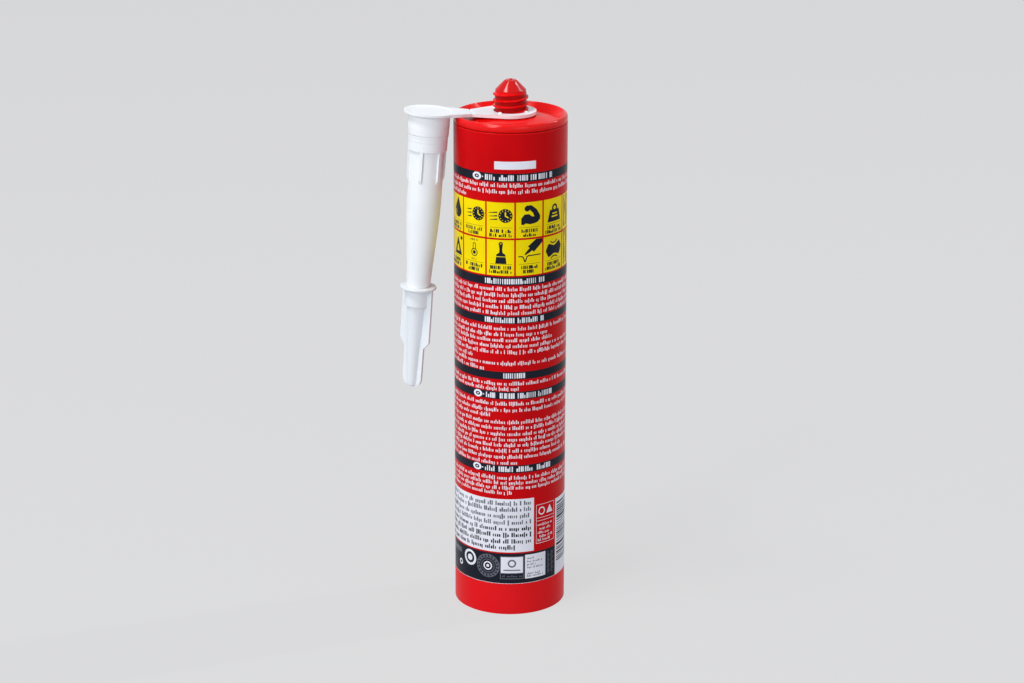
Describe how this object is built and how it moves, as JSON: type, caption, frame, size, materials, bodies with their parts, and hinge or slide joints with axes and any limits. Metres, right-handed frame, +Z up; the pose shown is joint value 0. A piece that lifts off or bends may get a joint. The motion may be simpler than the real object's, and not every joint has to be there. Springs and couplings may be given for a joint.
{
  "type": "caulk tube",
  "caption": "Tall sealant cartridge with an open foot and piston, a threaded neck with a closed tip, and a capped tapering nozzle stored on a swivelling strap.",
  "frame": {"origin": "on the barrel's axis, in the plane of the foot's edge", "axes": "+Z up the barrel's axis to the neck and its tip, -X towards the stored nozzle"},
  "size_m": [0.0743, 0.05, 0.2417],
  "materials": {
    "cartridge": "satin moulded polyethylene",
    "label": "glossy printed film",
    "piston": "matte moulded polyethylene",
    "sealant": "smooth paste",
    "white_plastic": "glossy moulded polypropylene"
  },
  "bodies": {
    "barrel": {"cartridge": "cartridge", "label": "label", "sealant": "sealant"},
    "piston": {"piston": "piston"},
    "holder": {"nozzle_holder": "white_plastic"},
    "nozzle": {"nozzle": "white_plastic"},
    "cap": {"nozzle_cap": "white_plastic"}
  },
  "joints": [
    {"name": "piston_travel", "type": "slide", "parent": "barrel", "child": "piston", "axis": [0, 0, 1], "range_m": [0, 0.184], "deforming": ["sealant"]},
    {"name": "holder_swivel", "type": "hinge", "parent": "barrel", "child": "holder", "pos_m": [0, 0, 0.2267], "axis": [0, 0, 1], "continuous": true},
    {"name": "nozzle_pull", "type": "slide", "parent": "holder", "child": "nozzle", "axis": [-0.0723, 0, -0.9974], "range_m": [0, 0.014]},
    {"name": "cap_pull", "type": "slide", "parent": "nozzle", "child": "cap", "axis": [-0.0723, 0, -0.9974], "range_m": [0, 0.045]}
  ]
}
